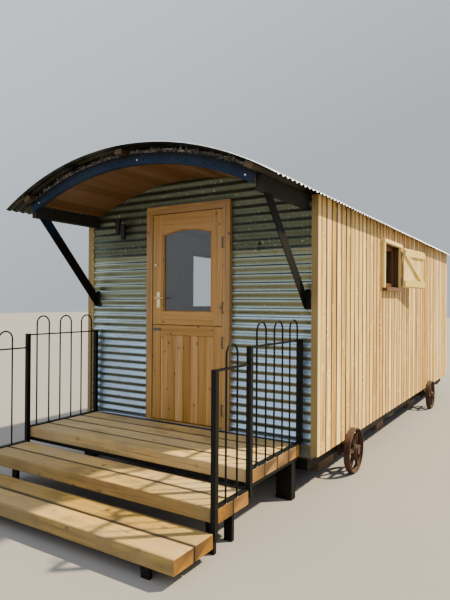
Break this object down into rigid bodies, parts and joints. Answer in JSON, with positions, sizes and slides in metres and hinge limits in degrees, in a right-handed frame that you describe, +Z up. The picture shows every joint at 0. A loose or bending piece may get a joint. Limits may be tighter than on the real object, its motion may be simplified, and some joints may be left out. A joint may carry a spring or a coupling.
{
  "type": "shepherds hut",
  "caption": "Shepherd's hut with a curved corrugated roof, front canopy, split stable door, side windows with shutters, timber deck with steps, hoop railings and iron wheels.",
  "frame": {"origin": "middle of the bounding box at ground level", "axes": "X across the hut, -Y towards the steps and the front door, +Z up"},
  "size_m": [3.0394, 8.027, 2.8808],
  "materials": {
    "black_steel": "satin black paint",
    "rusty_iron": "rusted",
    "dark_timber": "rough, dark brown",
    "pine_boards": "satin varnish",
    "wall_core": "smooth boards",
    "zinc_sheet": "galvanised",
    "larch_boards": "sawn, untreated",
    "treated_pine": "sawn, greenish treated",
    "varnished_pine": "satin varnish",
    "red_brown_frame": "stained",
    "window_glass": "clear",
    "door_glass": "clear",
    "insulation": "fluffy mineral wool",
    "blue_steel": "blue primer paint",
    "brown_beam": "dark brown stain",
    "brown_steel": "dark brown paint",
    "sleeper_timber": "sawn, weathered",
    "black_fitting": "satin black",
    "brass_fittings": "polished"
  },
  "bodies": {
    "hut": {"chassis_rails": "black_steel", "chassis_crossbars": "black_steel", "wheel_brackets": "rusty_iron", "support_piers": "dark_timber", "floor": "pine_boards", "front_wall_left": "wall_core", "front_wall_right": "wall_core", "front_wall_top": "wall_core", "rear_wall": "wall_core", "right_wall": "wall_core", "left_wall": "wall_core", "gable_sheets": "zinc_sheet", "side_boards": "larch_boards", "corner_posts": "treated_pine", "door_frame": "varnished_pine", "window_casings": "larch_boards", "window_frames": "red_brown_frame", "window_sills": "red_brown_frame", "window_panes": "window_glass", "ceiling": "pine_boards", "roof_insulation": "insulation", "purlins": "treated_pine", "roof_sheets": "zinc_sheet", "front_arch": "blue_steel", "eaves_beams": "brown_beam", "canopy_struts": "brown_steel", "deck_bearers": "black_steel", "deck_crossbars": "black_steel", "deck_legs": "black_steel", "deck_sleepers": "sleeper_timber", "step_sleepers": "sleeper_timber", "railing_posts": "black_steel", "railing_panels": "black_steel", "wall_light": "black_fitting", "cabin_hook": "black_fitting", "sill_flashing": "zinc_sheet"},
    "door_upper": {"upper_leaf": "varnished_pine", "upper_pane": "door_glass", "upper_fittings": "brass_fittings"},
    "door_handle": {"door_lever": "brass_fittings"},
    "door_lower": {"lower_leaf": "varnished_pine", "lower_fittings": "brass_fittings"},
    "shutter_r": {"shutter_right": "larch_boards"},
    "shutter_l": {"shutter_left": "larch_boards"},
    "wheel_fr": {"wheel_front_right": "rusty_iron"},
    "wheel_fl": {"wheel_front_left": "rusty_iron"},
    "wheel_rr": {"wheel_rear_right": "rusty_iron"},
    "wheel_rl": {"wheel_rear_left": "rusty_iron"}
  },
  "joints": [
    {"name": "upper_door_hinge", "type": "hinge", "parent": "hut", "child": "door_upper", "pos_m": [0.413, -2.2845, 1.9], "axis": [0, 0, 1], "range_deg": [0, 155]},
    {"name": "lower_door_hinge", "type": "hinge", "parent": "hut", "child": "door_lower", "pos_m": [0.413, -2.2845, 0.9], "axis": [0, 0, 1], "range_deg": [0, 155]},
    {"name": "door_handle_spindle", "type": "hinge", "parent": "door_upper", "child": "door_handle", "pos_m": [-0.34, -2.2685, 1.65], "axis": [0, 1, 0], "range_deg": [0, 40], "stiffness_Nm_per_rad": 4, "springref_deg": -5.73},
    {"name": "right_shutter_hinge", "type": "hinge", "parent": "hut", "child": "shutter_r", "pos_m": [1.3825, 0.386, 2.05], "axis": [0, 0, 1], "range_deg": [-172.5, 6]},
    {"name": "left_shutter_hinge", "type": "hinge", "parent": "hut", "child": "shutter_l", "pos_m": [-1.3825, 0.386, 2.05], "axis": [0, 0, 1], "range_deg": [-6, 173.72]},
    {"name": "front_right_wheel_spin", "type": "hinge", "parent": "hut", "child": "wheel_fr", "pos_m": [1.378, -1.4365, 0.21], "axis": [1, 0, 0], "continuous": true},
    {"name": "front_left_wheel_spin", "type": "hinge", "parent": "hut", "child": "wheel_fl", "pos_m": [-1.378, -1.4365, 0.21], "axis": [1, 0, 0], "continuous": true},
    {"name": "rear_right_wheel_spin", "type": "hinge", "parent": "hut", "child": "wheel_rr", "pos_m": [1.378, 2.2335, 0.21], "axis": [1, 0, 0], "continuous": true},
    {"name": "rear_left_wheel_spin", "type": "hinge", "parent": "hut", "child": "wheel_rl", "pos_m": [-1.378, 2.2335, 0.21], "axis": [1, 0, 0], "continuous": true}
  ]
}
